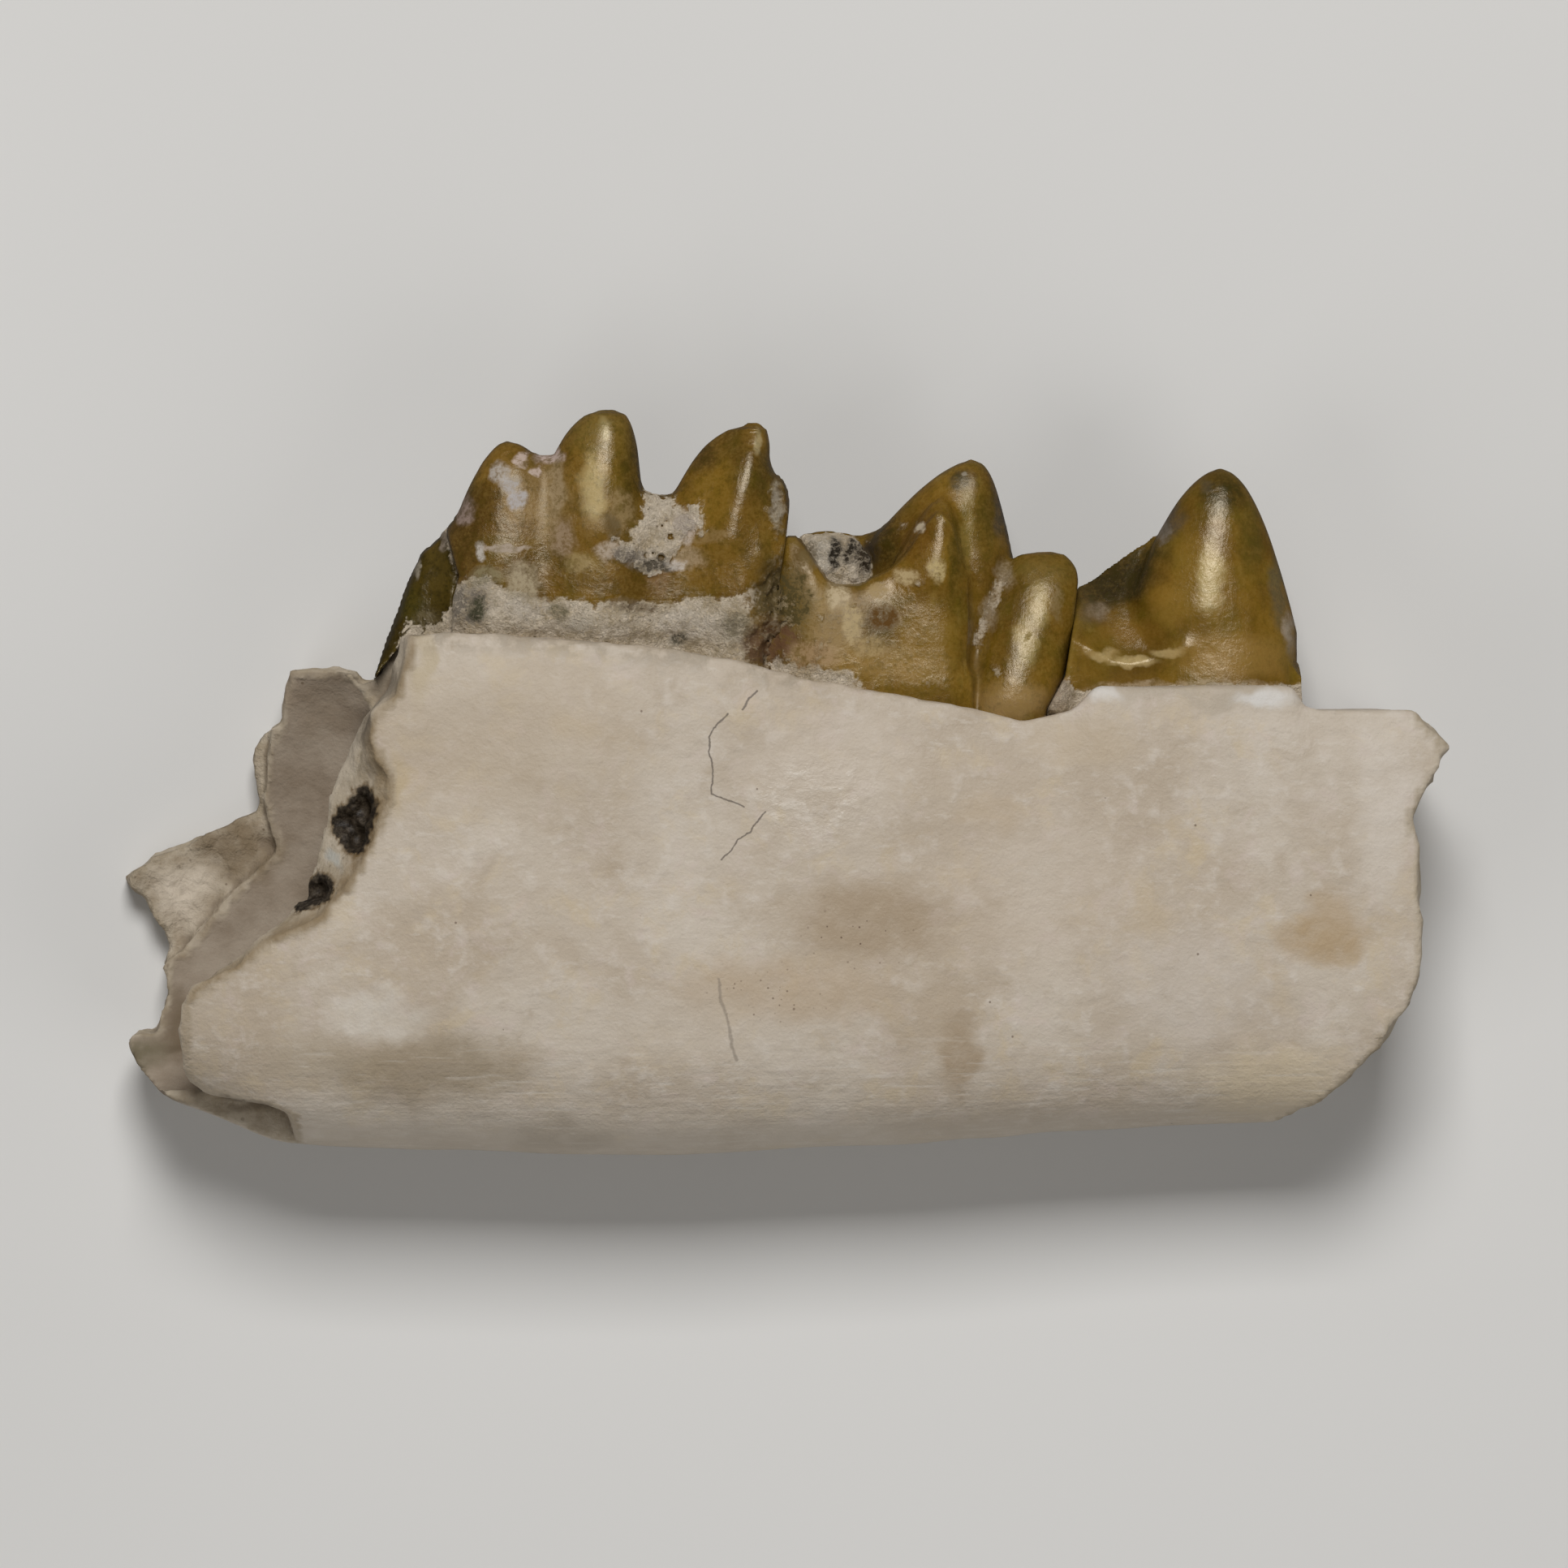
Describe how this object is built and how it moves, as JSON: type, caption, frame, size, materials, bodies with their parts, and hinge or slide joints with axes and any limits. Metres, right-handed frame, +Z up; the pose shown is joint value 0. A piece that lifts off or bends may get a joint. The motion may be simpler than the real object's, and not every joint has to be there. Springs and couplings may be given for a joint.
{
  "type": "fossil jaw fragment",
  "caption": "Broken piece of a small hoofed animal's lower jaw in cream fossil bone, lying on its side, with pointed amber cheek teeth and an open canal at its hind break.",
  "frame": {"origin": "middle of the object's outline on the surface it lies on", "axes": "+X towards the front of the jaw, +Y towards the tips of the teeth, +Z up, out of the tongue side"},
  "size_m": [0.029, 0.0161, 0.0058],
  "materials": {
    "fossil_bone": "matt cream fossil bone, faintly polished along the lower edge",
    "tooth_enamel": "glossy amber brown fossil enamel with sediment in its hollows",
    "dark_enamel": "dark olive broken enamel"
  },
  "bodies": {
    "root": {"jaw_bone": "fossil_bone", "three_cusped_molar": "tooth_enamel", "rear_premolar": "tooth_enamel", "front_premolar": "tooth_enamel", "broken_rear_molar": "dark_enamel"}
  },
  "joints": []
}
